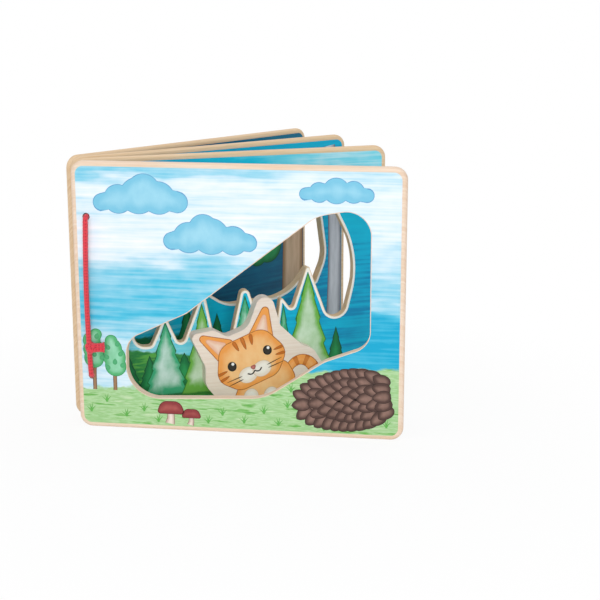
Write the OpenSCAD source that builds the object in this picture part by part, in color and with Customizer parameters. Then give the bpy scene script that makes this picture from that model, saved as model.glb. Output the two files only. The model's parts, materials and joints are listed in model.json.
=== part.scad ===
// Wooden picture book, standing fanned open on the bottom edges of its boards.
// Four boards share one blank and are bound along the spine by one knotted cord.
// Millimetres, +Z up. The front cover stands in the XZ plane with the spine on the -X side,
// and the origin is at the middle of the front cover's bottom edge.

/* [Boards] */
// Width of every board, from the spine edge to the fore edge
board_w = 180; // [150:1:230]
// Height of every board
board_h = 149; // [130:1:190]
// Thickness of every board
board_t = 5; // [4.4:0.1:8]
// Radius of the boards' corners, seen flat on
corner_r = 7; // [4:0.5:12]
// Radius of the round-over along all outer edges of the boards
edge_r = 2; // [0.5:0.1:2.1]

/* [Fan] */
// Angle between the front cover and page one
front_angle = 25.5; // [16:0.1:40]
// Angle between page one and page two
middle_angle = 15.6; // [5:0.1:30]
// Angle between page two and the back cover
back_angle = 11.1; // [5:0.1:30]

/* [Binding] */
// Thickness of the binding cord
cord_d = 3; // [2:0.1:4]
// Room across a hole, over the cord's thickness
hole_clear = 1; // [0.4:0.1:2]
// Distance of the holes from the spine edge
hole_in = 8; // [6:0.5:12]
// Distance of the holes from the top and bottom edges
hole_end = 30; // [15:1:36]
// Height of the knot above the bottom edge
knot_z = 46.5; // [45:0.5:100]
// Length of the cut ends past the knot
tail_len = 5.5; // [3:0.5:10]

/* [Play figure] */
// Width of the figure
fig_w = 79; // [60:1:85]
// Height of the figure to the tip of its upper ear
fig_h = 66.5; // [50:0.1:90]
// Thickness of the figure
fig_t = 8; // [5:0.5:10]
// Distance from the spine edge of page one to the figure
fig_from_spine = 62; // [55:1:80]

/* [Hidden] */
$fn = 48;

// Gap between two boards that lie shut on each other
board_gap = 0.3;
// How far a pair of boards pivots outside their spine edges
hinge_out = 0.2;
// Gap between the cord and the face that it lies on
cord_lay = 0.1;
// What the cord's bend over a hole's rim takes past the hole's radius
bend_extra = 0.2;
// How much thicker the cord is where no hole squeezes it, in radius
free_swell = 0.1;
// How far a run through a hole reaches into the cord's free stretches
run_seat = 0.3;
// Gap between the figure's back and page one
fig_gap = 0.2;
// Overrun of every cut
cut_over = 1;
// Angle at which an outline's arcs cross the straight sides that they round
arc_cross = 6;

wood = [0.92, 0.82, 0.70];
inner_wood = [0.86, 0.74, 0.58];
cord_red = [0.84, 0.22, 0.26];
figure_wood = [0.95, 0.66, 0.36];

cord_r = cord_d / 2;
hole_r = cord_r + hole_clear / 2;
hole_heights = [hole_end, board_h - hole_end];
hinge_r = hole_in + hinge_out;
bend_r = hole_r + bend_extra;
run_y = cord_r + cord_lay;
bend_y = bend_r - run_y;
// The cord leans to a hole's rim, so that a board can slide a little along the one before it
sway_share = 0.9;
cord_sway = (hole_r - cord_r) * sway_share;
board_slide = 2 * cord_sway;
run_past = board_gap / 2 + run_seat;
knot_lobe_share = 0.8;
knot_lobe_r = cord_d * knot_lobe_share;
knot_pitch_share = 0.55;
knot_pitch = cord_d * knot_pitch_share;
tail_pitch_share = 0.44;
tail_pitch = cord_d * tail_pitch_share;

// Corners of the openings, counter-clockwise from the lower spine side:
// shares of the board's width and height, and each corner's radius as a share of the height.
front_window_shares = [
    [0.153, 0.119, 0.120],
    [0.578, 0.140, 0.200],
    [0.761, 0.289, 0.170],
    [0.897, 0.352, 0.080],
    [0.897, 0.854, 0.087],
    [0.739, 0.821, 0.168],
    [0.344, 0.450, 0.134],
    [0.156, 0.342, 0.080]
];
treeline_window_shares = [
    [0.171, 0.277, 0.044],
    [0.224, 0.277, 0.017],
    [0.269, 0.395, 0.008],
    [0.319, 0.256, 0.017],
    [0.394, 0.485, 0.012],
    [0.453, 0.132, 0.033],
    [0.527, 0.523, 0.019],
    [0.616, 0.165, 0.028],
    [0.646, 0.436, 0.008],
    [0.685, 0.372, 0.011],
    [0.737, 0.557, 0.008],
    [0.838, 0.226, 0.046],
    [0.908, 0.566, 0.376],
    [0.811, 0.801, 0.094],
    [0.171, 0.801, 0.161]
];
hill_window_shares = [
    [0.183, 0.416, 0.034],
    [0.383, 0.479, 0.094],
    [0.528, 0.362, 0.168],
    [0.771, 0.362, 0.201],
    [0.853, 0.479, 0.008],
    [0.865, 0.366, 0.013],
    [0.918, 0.505, 0.161],
    [0.879, 0.812, 0.134],
    [0.183, 0.812, 0.161]
];

// Corners of the figure, counter-clockwise from the near end of its base: shares of its width
// and height, and each corner's radius as a share of the height. Base, tail, ears, then cheek.
figure_shares = [
    [0.267, 0.000, 0.053],
    [0.925, 0.000, 0.053],
    [1.020, 0.286, 0.165],
    [0.910, 0.505, 0.105],
    [0.814, 0.559, 0.075],
    [0.654, 0.746, 0.060],
    [0.547, 1.185, 0.084],
    [0.410, 0.746, 0.150],
    [0.257, 0.681, 0.060],
    [0.159, 0.749, 0.105],
    [-0.019, 0.725, 0.048],
    [0.093, 0.429, 0.120],
    [0.092, 0.263, 0.180]
];

function unit(v) = v / norm(v);
function along(points, i) = points[(i + len(points)) % len(points)];
function place(point) = [point.x, point.y];
function sized(shares, w, h) = [for (s = shares) [s.x * w, s.y * h, s.z * h]];

// Half of the angle by which an outline turns at corner i
function half_turn(c, i) =
    let (before = place(c[i]) - place(along(c, i - 1)), after = place(along(c, i + 1)) - place(c[i]))
    atan2(abs(cross(before, after)), before * after) / 2;
function turns_left(c, i) =
    cross(place(c[i]) - place(along(c, i - 1)), place(along(c, i + 1)) - place(c[i])) > 0;
// Direction of the side that runs from corner i to corner j
function side_on(c, i, j) = unit(place(along(c, j)) - place(c[i]));
// Distance of corner i's arc centre from both of its sides, a little under the radius
function arc_depth(c, i) = c[i].z * cos(arc_cross);
function arc_centre(c, i) =
    place(c[i]) + unit(side_on(c, i, i - 1) + side_on(c, i, i + 1)) * arc_depth(c, i) / cos(half_turn(c, i));
// Point on the side towards corner j, between the arc's end and the foot of its centre
function trim_start(c, i, j) =
    place(c[i]) + side_on(c, i, j) * (arc_depth(c, i) * tan(half_turn(c, i)) - c[i].z * sin(arc_cross / 2));

// What rounding takes off or fills in at corner i: the tip between the two sides and the arc
module corner_trim(c, i) {
    from = trim_start(c, i, i - 1);
    to = trim_start(c, i, i + 1);
    wider = unit(to - from) * cut_over;
    tip = place(c[i]) - (from + to) / 2;
    past = tip + unit(tip) * cut_over;
    difference() {
        polygon([from - wider, to + wider, to + wider + past, from - wider + past]);
        translate(arc_centre(c, i)) circle(c[i].z);
    }
}

// Closed outline through corners [x, y, radius], each rounded by a true arc
module rounded_outline(c) {
    difference() {
        union() {
            polygon([for (corner = c) place(corner)]);
            for (i = [0 : len(c) - 1]) if (!turns_left(c, i)) corner_trim(c, i);
        }
        for (i = [0 : len(c) - 1]) if (turns_left(c, i)) corner_trim(c, i);
    }
}

// Section of a board's rim, from the corner arc's centre outwards, both edges rounded over
module rim_section() {
    square([corner_r - edge_r, board_t]);
    translate([0, edge_r]) square([corner_r, board_t - 2 * edge_r]);
    for (y = [edge_r, board_t - edge_r]) translate([corner_r - edge_r, y]) circle(edge_r);
}

// One side's rim and the quarter-round corner at its start
module rim(length) {
    rotate([90, 0, 0]) linear_extrude(length) rim_section();
    rotate_extrude(angle = 90) rim_section();
}

// The plain board, lying flat with its front face up
module flat_blank() {
    inner_w = board_w - 2 * corner_r;
    inner_h = board_h - 2 * corner_r;
    starts = [
        [corner_r + inner_w, corner_r + inner_h],
        [corner_r, corner_r + inner_h],
        [corner_r, corner_r],
        [corner_r + inner_w, corner_r]
    ];
    translate([corner_r, corner_r, 0]) cube([inner_w, inner_h, board_t]);
    for (i = [0 : 3])
        translate(starts[i]) rotate([0, 0, 90 * i]) rim(i % 2 == 0 ? inner_h : inner_w);
}

// A flat-made piece of this thickness stood up, with its front face at y = 0 and its back behind
module stand(thickness) {
    translate([0, thickness, 0]) rotate([90, 0, 0]) children();
}

// A bound board: the blank with its two cord holes and the opening given as 2-D children
module board() {
    stand(board_t) difference() {
        flat_blank();
        for (z = hole_heights)
            translate([hole_in, z, -cut_over]) cylinder(h = board_t + 2 * cut_over, r = hole_r);
        translate([0, 0, -cut_over]) linear_extrude(board_t + 2 * cut_over) children();
    }
}

// Places of the boards: each one turns about a line near its spine edge, on the back of the one before
// it, and is slid from that board's spine edge towards its fore edge
module at_front_cover() {
    translate([-board_w / 2, -board_t / 2, 0]) children();
}
module at_next_board(angle, slide) {
    translate([slide - hinge_out, board_t + board_gap / 2, 0]) rotate([0, 0, angle])
        translate([hinge_out, board_gap / 2, 0]) children();
}
module at_page_one() {
    at_front_cover() at_next_board(front_angle, 0) children();
}
module at_page_two() {
    at_page_one() at_next_board(middle_angle, board_slide) children();
}
module at_back_cover() {
    at_page_two() at_next_board(back_angle, board_slide) children();
}

module front_cover() {
    color(wood) at_front_cover()
        board() rounded_outline(sized(front_window_shares, board_w, board_h));
}

module page_one() {
    color(inner_wood) at_page_one()
        board() rounded_outline(sized(treeline_window_shares, board_w, board_h));
}

module page_two() {
    color(inner_wood) at_page_two()
        board() rounded_outline(sized(hill_window_shares, board_w, board_h));
}

module back_cover() {
    color(wood) at_back_cover() board();
}

// A cord's straight run through a board, from depth y0 to depth y1 behind its front face.
// It leans from lean0 to lean1 off the hole's middle, towards the fore edge.
module through_run(y0, y1, lean0, lean1) {
    for (z = hole_heights)
        translate([hole_in + lean0, -board_gap / 2, z])
            rotate([0, 0, atan2(lean0 - lean1, board_t + board_gap)])
                translate([0, y0 + board_gap / 2, 0]) rotate([-90, 0, 0]) cylinder(h = y1 - y0, r = cord_r);
}

// The cord's arcs between a board's back face and the next board, about the line on which that one turns
module fan_arcs(angle, slide) {
    for (z = hole_heights)
        translate([slide - hinge_out, board_t + board_gap / 2, z])
            rotate_extrude(angle = angle) translate([hinge_r - slide / 2, 0]) circle(cord_r + free_swell);
}

// The cord's run down a board's face, with its two bends into the holes
module face_run() {
    translate([hole_in, -run_y, hole_heights[0] + bend_r])
        cylinder(h = hole_heights[1] - hole_heights[0] - 2 * bend_r, r = cord_r);
    translate([hole_in, bend_y, hole_heights[1] - bend_r]) bend();
    translate([hole_in, bend_y, hole_heights[0] + bend_r]) mirror([0, 0, 1]) bend();
}

module bend() {
    rotate([0, 0, 180]) rotate([0, -90, 0])
        rotate_extrude(angle = 90) translate([bend_r, 0]) circle(cord_r);
}

// The knot on the front run, with the cord's two cut ends beside each other
module knot() {
    translate([hole_in, -knot_lobe_r - cord_lay, knot_z]) {
        for (side = [-1, 1]) translate([0, 0, side * knot_pitch]) sphere(knot_lobe_r);
        for (side = [-1, 1])
            translate([0, 0, side * tail_pitch]) rotate([0, 90, 0])
                cylinder(h = knot_lobe_r + tail_len, r = cord_r);
    }
}

module binding_cord() {
    color(cord_red) {
        at_front_cover() {
            face_run();
            knot();
            through_run(bend_y, board_t + run_past, 0, 0);
            fan_arcs(front_angle, 0);
        }
        at_page_one() {
            through_run(-run_past, board_t + run_past, 0, cord_sway);
            fan_arcs(middle_angle, board_slide);
        }
        at_page_two() {
            through_run(-run_past, board_t + run_past, -cord_sway, cord_sway);
            fan_arcs(back_angle, board_slide);
        }
        at_back_cover() translate([-cord_sway, 0, 0]) {
            through_run(-run_past, board_t - bend_y, 0, 0);
            translate([0, board_t, 0]) mirror([0, 1, 0]) face_run();
        }
    }
}

module play_figure() {
    color(figure_wood) at_page_one()
        translate([fig_from_spine, -fig_gap - fig_t, 0])
            stand(fig_t) linear_extrude(fig_t) rounded_outline(sized(figure_shares, fig_w, fig_h));
}

front_cover();
page_one();
page_two();
back_cover();
binding_cord();
play_figure();
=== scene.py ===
"""Looks of a fanned wooden picture book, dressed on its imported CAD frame.

The boards and the play figure keep their CAD solids and get a wood finish. Their printed faces are thin
films of colour that lie on the solids, drawn as fields of paint, and the binding cord is a braided tube with
a knot. Sizes are in millimetres and become metres when a mesh is made.
"""

import json
import logging
from dataclasses import dataclass
from enum import Enum
from math import cos, pi, radians, sin
from typing import Any, Sequence

import bpy
import numpy as np
from mathutils import Matrix, Vector


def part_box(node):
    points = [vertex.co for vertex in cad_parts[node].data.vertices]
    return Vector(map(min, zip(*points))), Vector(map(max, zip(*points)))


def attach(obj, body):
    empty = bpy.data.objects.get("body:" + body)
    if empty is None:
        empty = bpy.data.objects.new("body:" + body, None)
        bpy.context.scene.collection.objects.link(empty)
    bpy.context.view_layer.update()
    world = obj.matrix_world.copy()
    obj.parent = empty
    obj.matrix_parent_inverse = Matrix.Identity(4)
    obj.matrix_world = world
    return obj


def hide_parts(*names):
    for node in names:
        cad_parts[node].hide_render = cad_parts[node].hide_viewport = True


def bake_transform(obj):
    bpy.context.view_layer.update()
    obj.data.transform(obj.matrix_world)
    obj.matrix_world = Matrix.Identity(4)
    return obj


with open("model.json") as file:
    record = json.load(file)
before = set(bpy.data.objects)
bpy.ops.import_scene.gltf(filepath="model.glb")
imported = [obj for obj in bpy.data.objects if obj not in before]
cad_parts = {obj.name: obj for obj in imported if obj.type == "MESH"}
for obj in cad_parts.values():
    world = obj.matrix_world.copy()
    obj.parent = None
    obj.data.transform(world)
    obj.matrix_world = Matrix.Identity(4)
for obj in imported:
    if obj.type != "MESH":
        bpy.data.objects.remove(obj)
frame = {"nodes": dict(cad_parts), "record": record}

Array = np.ndarray
Colour = tuple[float, float, float, float]
Pair = tuple[float, float]
Triple = tuple[float, float, float]
Triples = tuple[Triple, ...]
Fours = tuple[tuple[float, float, float, float], ...]
Stops = tuple[tuple[float, str], ...]
Tree = bpy.types.NodeTree
Node = bpy.types.Node
Socket = bpy.types.NodeSocket

LOG = logging.getLogger("picture_book")
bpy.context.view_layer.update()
SLOTS = {part["node"]: part["material_slot"] for part in frame["record"]["subparts"]}
MM = 0.001  # In metres
PLACE = "place"  # Mesh attribute that the finishes read
# Numbers of a Mix node's inputs and output when it mixes colours
MIX_FACTOR, MIX_A, MIX_B, MIX_COLOUR = 0, 6, 7, 2
# How far the lowest film lies off the wood, and each film off the one below it
FILM = 0.04
LAYER = 0.025
# Edge distance of a wash, which pools at no outline
NO_EDGE = 50.0
HANDS = (-1, 1)  # Left and right


class Side(Enum):
    """The face of a plate that a film lies on."""

    FRONT = "front"
    BACK = "back"


class Board(Enum):
    """The bound boards by their CAD node, from front to back. Each is also the body of that name."""

    FRONT_COVER = "front_cover"
    PAGE_ONE = "page_one"
    PAGE_TWO = "page_two"
    BACK_COVER = "back_cover"


# The blank that all four boards are cut from
BLANK_LOW, BLANK_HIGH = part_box(Board.FRONT_COVER.value)
BOARD_W, BOARD_T, BOARD_H = (BLANK_HIGH - BLANK_LOW) / MM


# Colours and nodes


def linear(code: str) -> Colour:
    """Turns an sRGB hex colour into linear RGBA.

    Args:
        code: The colour as #RRGGBB.

    Returns:
        The linear colour.
    """
    srgb = np.array([int(code[i:i + 2], 16) for i in (1, 3, 5)]) / 255
    rgb = np.where(srgb <= 0.04045, srgb / 12.92, ((srgb + 0.055) / 1.055) ** 2.4)
    return (*rgb.tolist(), 1.0)


def grey(share: float) -> Colour:
    """A ramp colour that carries a plain number."""
    return (share, share, share, 1.0)


def tones(stops: Stops) -> list[tuple[float, Colour]]:
    """A ramp's positions with their hex colours made linear."""
    return [(position, linear(code)) for position, code in stops]


def add(tree: Tree, kind: str, inputs: dict, stops: Sequence = (), **settings: Any) -> Node:
    """Adds one node with its settings and links.

    Args:
        tree: The material's node tree.
        kind: The node's type name.
        inputs: For each input's name or number, a socket to link or a value to set.
        stops: For a colour ramp, its positions and linear colours.
        settings: Properties of the node.

    Returns:
        The new node.
    """
    node = tree.nodes.new(kind)
    for key, value in settings.items():
        setattr(node, key, value)
    for key, value in inputs.items():
        if isinstance(value, Socket):
            tree.links.new(value, node.inputs[key])
        else:
            node.inputs[key].default_value = value
    for i, (position, colour) in enumerate(stops):
        elements = node.color_ramp.elements
        element = elements[i] if i < 2 else elements.new(position)
        element.position = position
        element.color = colour
    return node


@dataclass(frozen=True)
class Mottle:
    """Uneven patches of a real size."""

    length: float  # Of a patch, along the board
    width: float  # Of a patch, up the board
    detail: float = 3.0  # Octaves of finer noise
    roughness: float = 0.55  # Strength of each octave beside the one before it

    def share(self, tree: Tree, place: Socket) -> Socket:
        """Noise on places in millimetres, divided by the patch's length and width.

        Args:
            tree: The material's node tree.
            place: Socket with places in millimetres.

        Returns:
            Socket with a share from 0 to 1.
        """
        size = (1 / self.length, 1 / self.width, 0)
        spots = add(tree, "ShaderNodeVectorMath", {0: place, 1: size}, operation="MULTIPLY").outputs[0]
        noise = {"Vector": spots, "Scale": 1.0, "Detail": self.detail, "Roughness": self.roughness}
        return add(tree, "ShaderNodeTexNoise", noise).outputs["Fac"]


# Finishes


@dataclass(frozen=True)
class Finish:
    """A finish that makes its Blender material once."""

    name: str
    roughness: float = 0.5
    gloss: float = 0.25
    relief_depth: float = 0.02
    relief_strength: float = 0.3

    def material(self) -> bpy.types.Material:
        """Makes the material at the first call.

        Returns:
            The material.
        """
        found = bpy.data.materials.get(self.name)
        if found:
            return found
        made = bpy.data.materials.new(self.name)
        made.use_nodes = True
        shader = made.node_tree.nodes["Principled BSDF"]
        shader.inputs["Roughness"].default_value = self.roughness
        shader.inputs["Specular IOR Level"].default_value = self.gloss
        self.paint(made.node_tree, shader)
        return made

    def paint(self, tree: Tree, shader: Node) -> None:
        """Adds the finish's own nodes to a Principled shader."""
        raise NotImplementedError

    def place(self, tree: Tree) -> Socket:
        """Reads the places in millimetres that the mesh stores."""
        return add(tree, "ShaderNodeAttribute", {}, attribute_name=PLACE).outputs["Vector"]

    def relief(self, tree: Tree, shader: Node, height: Socket) -> None:
        """Links a height to the shader's normal."""
        inputs = {"Height": height, "Distance": self.relief_depth * MM, "Strength": self.relief_strength}
        tree.links.new(add(tree, "ShaderNodeBump", inputs).outputs["Normal"], shader.inputs["Normal"])


@dataclass(frozen=True)
class BirchPly(Finish):
    """Sanded birch plywood, oiled: pale warm wood with fine long grain and an even satin finish.

    Birch pores are about 0.1 mm wide. The flecks stand for rows of them and are drawn coarser, so that they
    show.
    """

    roughness: float = 0.55
    gloss: float = 0.3
    relief_depth: float = 0.05
    relief_strength: float = 0.25
    light: str = "#F0DCC4"
    dark: str = "#DDBE9C"
    turn: float = 0.0  # The board's angle in radians, which the grain follows
    grain: Mottle = Mottle(60.0, 1.5, 4.0)
    fleck: Mottle = Mottle(9.0, 0.5)
    fleck_share: float = 0.45
    levels: Pair = (0.42, 0.95)  # Where the wood is all light and all dark

    def paint(self, tree: Tree, shader: Node) -> None:
        """Mixes two wood tones by grain that runs along the board, with short darker flecks.

        Args:
            tree: The material's node tree.
            shader: Its Principled shader.
        """
        coords = add(tree, "ShaderNodeTexCoord", {}).outputs["Object"]
        turned = add(tree, "ShaderNodeMapping", {"Vector": coords, "Rotation": (0, 0, -self.turn)})
        axes = add(tree, "ShaderNodeSeparateXYZ", {0: turned.outputs[0]}).outputs
        across = add(tree, "ShaderNodeMath", {0: axes["Z"], 1: axes["Y"]}, operation="ADD").outputs[0]
        flat = add(tree, "ShaderNodeCombineXYZ", {"X": axes["X"], "Y": across}).outputs[0]
        scaled = {0: flat, 1: (1 / MM,) * 3}
        place = add(tree, "ShaderNodeVectorMath", scaled, operation="MULTIPLY").outputs[0]
        grain = self.grain.share(tree, place)
        flecks = {0: self.fleck.share(tree, place), 1: self.fleck_share, 2: grain}
        flecked = add(tree, "ShaderNodeMath", flecks, operation="MULTIPLY_ADD").outputs[0]
        stops = tones(tuple(zip(self.levels, (self.light, self.dark))))
        colour = add(tree, "ShaderNodeValToRGB", {"Fac": flecked}, stops).outputs["Color"]
        tree.links.new(colour, shader.inputs["Base Color"])
        self.relief(tree, shader, grain)


@dataclass(frozen=True)
class Print(Finish):
    """Screen print on primed wood under satin varnish: even colour with a soft gleam and a faint tooth.

    A real tooth is a few hundredths of a millimetre wide. It is drawn coarser, so that it shows.
    """

    tooth: Mottle = Mottle(0.9, 0.9)

    def varnish(self, tree: Tree, shader: Node, place: Socket, colour: Socket) -> None:
        """Links the printed colour and the varnish's tooth to the shader."""
        tree.links.new(colour, shader.inputs["Base Color"])
        self.relief(tree, shader, self.tooth.share(tree, place))


@dataclass(frozen=True)
class Wash(Print):
    """Printed watercolour wash: streaked sky over a band of ground."""

    left: tuple[Pair, ...] = ()  # Share of pigment by height at the spine side
    right: tuple[Pair, ...] = ()  # The same at the fore edge
    tints: Stops = ()  # From bare ground to full pigment
    ground: Stops = ()  # Colours of its brush strokes
    horizon: Pair = (24.0, 41.0)  # Height of the ground at the spine side and at the fore edge
    # Shares of the width between which the left side's pigment gives way to the right's
    turn_shares: Pair = (0.2, 0.85)
    drift: Mottle = Mottle(46.0, 13.0, 2.0)  # Patches that shift the pigment up and down
    wander: float = 36.0  # How far they shift it
    streak: Mottle = Mottle(58.0, 2.6, 5.0)
    streak_share: float = 0.8
    bloom: Mottle = Mottle(11.0, 7.0, 2.0)
    bloom_share: float = 0.24
    middle: float = 0.52  # What the streaks and the blooms add on average
    ragged: Mottle = Mottle(7.0, 4.0)  # Bites in the ground's upper edge
    ragged_height: float = 7.0
    fade: Pair = (2.5, 4.5)  # Heights over the horizon between which the ground ends
    stroke: Mottle = Mottle(17.0, 2.4, 4.0)

    def paint(self, tree: Tree, shader: Node) -> None:
        """Reads the sky's tint from its pigment, and lays the ground below the horizon.

        Args:
            tree: The material's node tree.
            shader: Its Principled shader.
        """
        place = self.place(tree)
        axes = add(tree, "ShaderNodeSeparateXYZ", {0: place}).outputs
        pigment = self.pigment(tree, place, axes["X"], axes["Y"])
        sky = add(tree, "ShaderNodeValToRGB", {"Fac": pigment}, tones(self.tints)).outputs["Color"]
        self.varnish(tree, shader, place, self.grounded(tree, place, axes["X"], axes["Y"], sky))

    def pigment(self, tree: Tree, place: Socket, along: Socket, up: Socket) -> Socket:
        """Share of pigment by height, which drifts and changes across the board, with streaks and blooms.

        Args:
            tree: The material's node tree.
            place: Socket with places in millimetres.
            along: Socket with the distance from the spine.
            up: Socket with the height.

        Returns:
            Socket with the share of pigment.
        """
        drift = {0: self.drift.share(tree, place), 1: self.wander, 2: up}
        shifted = add(tree, "ShaderNodeMath", drift, operation="MULTIPLY_ADD").outputs[0]
        heights = {"Value": shifted, "From Min": self.wander / 2, "From Max": BOARD_H + self.wander / 2}
        level = add(tree, "ShaderNodeMapRange", heights).outputs[0]
        ramps = [[(z / BOARD_H, grey(share)) for z, share in side] for side in (self.left, self.right)]
        left, right = (add(tree, "ShaderNodeValToRGB", {"Fac": level}, ramp).outputs[0] for ramp in ramps)
        start, end = (BOARD_W * share for share in self.turn_shares)
        reach = {"Value": along, "From Min": start, "From Max": end}
        across = add(tree, "ShaderNodeMapRange", reach, interpolation_type="SMOOTHSTEP").outputs[0]
        sides = {MIX_FACTOR: across, MIX_A: left, MIX_B: right}
        share = add(tree, "ShaderNodeMix", sides, data_type="RGBA").outputs[MIX_COLOUR]
        for mottle, weight in ((self.streak, self.streak_share), (self.bloom, self.bloom_share)):
            more = {0: mottle.share(tree, place), 1: weight, 2: share}
            share = add(tree, "ShaderNodeMath", more, operation="MULTIPLY_ADD").outputs[0]
        return add(tree, "ShaderNodeMath", {0: share, 1: self.middle}, operation="SUBTRACT").outputs[0]

    def grounded(self, tree: Tree, place: Socket, along: Socket, up: Socket, sky: Socket) -> Socket:
        """Lays the ground's brush strokes over the sky, below a ragged horizon.

        Args:
            tree: The material's node tree.
            place: Socket with places in millimetres.
            along: Socket with the distance from the spine.
            up: Socket with the height.
            sky: Socket with the sky's colour.

        Returns:
            Socket with the joined colour.
        """
        low, high = self.horizon
        ends = {"Value": along, "From Max": BOARD_W, "To Min": low, "To Max": high}
        line = add(tree, "ShaderNodeMapRange", ends, interpolation_type="SMOOTHSTEP").outputs[0]
        bites = {0: self.ragged.share(tree, place), 1: self.ragged_height, 2: up}
        over = add(tree, "ShaderNodeMath", bites, operation="MULTIPLY_ADD").outputs[0]
        above = add(tree, "ShaderNodeMath", {0: over, 1: line}, operation="SUBTRACT").outputs[0]
        start, end = self.fade
        fade = {"Value": above, "From Min": start, "From Max": end, "To Min": 1.0, "To Max": 0.0}
        mask = add(tree, "ShaderNodeMapRange", fade, interpolation_type="SMOOTHSTEP").outputs[0]
        strokes = {"Fac": self.stroke.share(tree, place)}
        ground = add(tree, "ShaderNodeValToRGB", strokes, tones(self.ground)).outputs["Color"]
        mixed = {MIX_FACTOR: mask, MIX_A: sky, MIX_B: ground}
        return add(tree, "ShaderNodeMix", mixed, data_type="RGBA").outputs[MIX_COLOUR]


@dataclass(frozen=True)
class Pigment(Print):
    """A field of printed watercolour: pale inside, pooled darker towards its edge, with a fine drawn line."""

    light: str = "#FFFFFF"
    dark: str = "#808080"
    line: str = "#404040"
    line_width: float = 0.5
    line_fade: float = 1.5  # Where the line has ended, in line widths
    pool: float = 4.0  # How far from the edge paint pools
    pool_share: float = 0.85
    bloom: Mottle = Mottle(6.0, 9.0)
    bloom_share: float = 1.1
    levels: Pair = (0.35, 1.25)  # Where the paint is all light and all dark
    ragged: Mottle = Mottle(2.2, 2.2)  # Unevenness of the line

    def paint(self, tree: Tree, shader: Node) -> None:
        """Deepens the colour near the edge and in soft blooms, and draws the line where the edge is close.

        Args:
            tree: The material's node tree.
            shader: Its Principled shader.
        """
        place = self.place(tree)
        edge = add(tree, "ShaderNodeSeparateXYZ", {0: place}).outputs["Z"]
        near = {"Value": edge, "From Max": self.pool, "To Min": self.pool_share, "To Max": 0.0}
        pooled = add(tree, "ShaderNodeMapRange", near, interpolation_type="SMOOTHSTEP").outputs[0]
        blooms = {0: self.bloom.share(tree, place), 1: self.bloom_share, 2: pooled}
        laid = add(tree, "ShaderNodeMath", blooms, operation="MULTIPLY_ADD").outputs[0]
        thin, thick = self.levels
        limits = {"Value": laid, "From Min": thin, "From Max": thick}
        spread = add(tree, "ShaderNodeMapRange", limits).outputs[0]
        paints = tones(((0.0, self.light), (1.0, self.dark)))
        colour = add(tree, "ShaderNodeValToRGB", {"Fac": spread}, paints).outputs["Color"]
        uneven = {0: self.ragged.share(tree, place), 1: self.line_width, 2: edge}
        wavy = add(tree, "ShaderNodeMath", uneven, operation="MULTIPLY_ADD").outputs[0]
        reach = {"From Min": self.line_width, "From Max": self.line_width * self.line_fade}
        drawn = {"Value": wavy, **reach, "To Min": 1.0, "To Max": 0.0}
        mask = add(tree, "ShaderNodeMapRange", drawn).outputs[0]
        mixed = {MIX_FACTOR: mask, MIX_A: colour, MIX_B: linear(self.line)}
        inked = add(tree, "ShaderNodeMix", mixed, data_type="RGBA").outputs[MIX_COLOUR]
        self.varnish(tree, shader, place, inked)


@dataclass(frozen=True)
class CottonBraid(Finish):
    """Braided cotton cord: matt dyed yarn, with painted shade that darkens the grooves between the strands.

    Cotton fibres are about 0.02 mm wide. They are drawn as coarse as fine yarn, so that they show.
    """

    roughness: float = 0.85
    relief_depth: float = 0.08
    relief_strength: float = 0.5
    # Deep red of the painted shade in the grooves, darker than the yarn's own dye
    groove: str = "#8E1626"
    yarn: str = "#DE3F4C"
    levels: Pair = (0.12, 0.7)  # Heights that are all painted groove shade and all yarn
    fibre: Mottle = Mottle(1.6, 0.35)
    fibre_share: float = 0.4
    sheen: float = 0.35

    def paint(self, tree: Tree, shader: Node) -> None:
        """Reads the braid's own height, so that painted shade makes the grooves deep red while the strands
        stay bright.

        Args:
            tree: The material's node tree.
            shader: Its Principled shader.
        """
        place = self.place(tree)
        height = add(tree, "ShaderNodeSeparateXYZ", {0: place}).outputs["Z"]
        fibre = self.fibre.share(tree, place)
        fibres = {0: fibre, 1: self.fibre_share, 2: height}
        mixed = add(tree, "ShaderNodeMath", fibres, operation="MULTIPLY_ADD").outputs[0]
        stops = tones(tuple(zip(self.levels, (self.groove, self.yarn))))
        colour = add(tree, "ShaderNodeValToRGB", {"Fac": mixed}, stops).outputs["Color"]
        tree.links.new(colour, shader.inputs["Base Color"])
        shader.inputs["Sheen Weight"].default_value = self.sheen
        self.relief(tree, shader, fibre)


# Outlines


def unit(vectors: Array) -> Array:
    """Scales each row to length one."""
    return vectors / np.linalg.norm(vectors, axis=-1, keepdims=True)


def cross(a: Array, b: Array) -> Array:
    """Signed area spanned by two flat vectors, row by row."""
    return a[..., 0] * b[..., 1] - a[..., 1] * b[..., 0]


def rounded(corners: Array, steps: int = 9) -> Array:
    """Points of a closed outline whose corners are rounded by arcs.

    Each arc's centre lies on the corner's bisector, at its radius from both sides, and the arc runs through
    the angle by which the outline turns.

    Args:
        corners: Rows of place along, height and radius, counter-clockwise.
        steps: Points on each arc.

    Returns:
        Points, one row each.
    """
    spot, radius = corners[:, :2], corners[:, 2:]
    back = unit(np.roll(spot, 1, 0) - spot)
    on = unit(np.roll(spot, -1, 0) - spot)
    half = np.arctan2(np.abs(cross(-back, on)), (-back * on).sum(1))[:, None] / 2
    centre = spot + unit(back + on) * radius / np.cos(half)
    first = spot + back * radius * np.tan(half) - centre
    turn = np.sign(cross(-back, on))[:, None] * 2 * half * np.linspace(0, 1, steps)
    angle = np.arctan2(first[:, 1], first[:, 0])[:, None] + turn
    ring = np.stack([np.cos(angle), np.sin(angle)], -1) * radius[:, None]
    return (centre[:, None] + ring).reshape(-1, 2)


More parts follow.
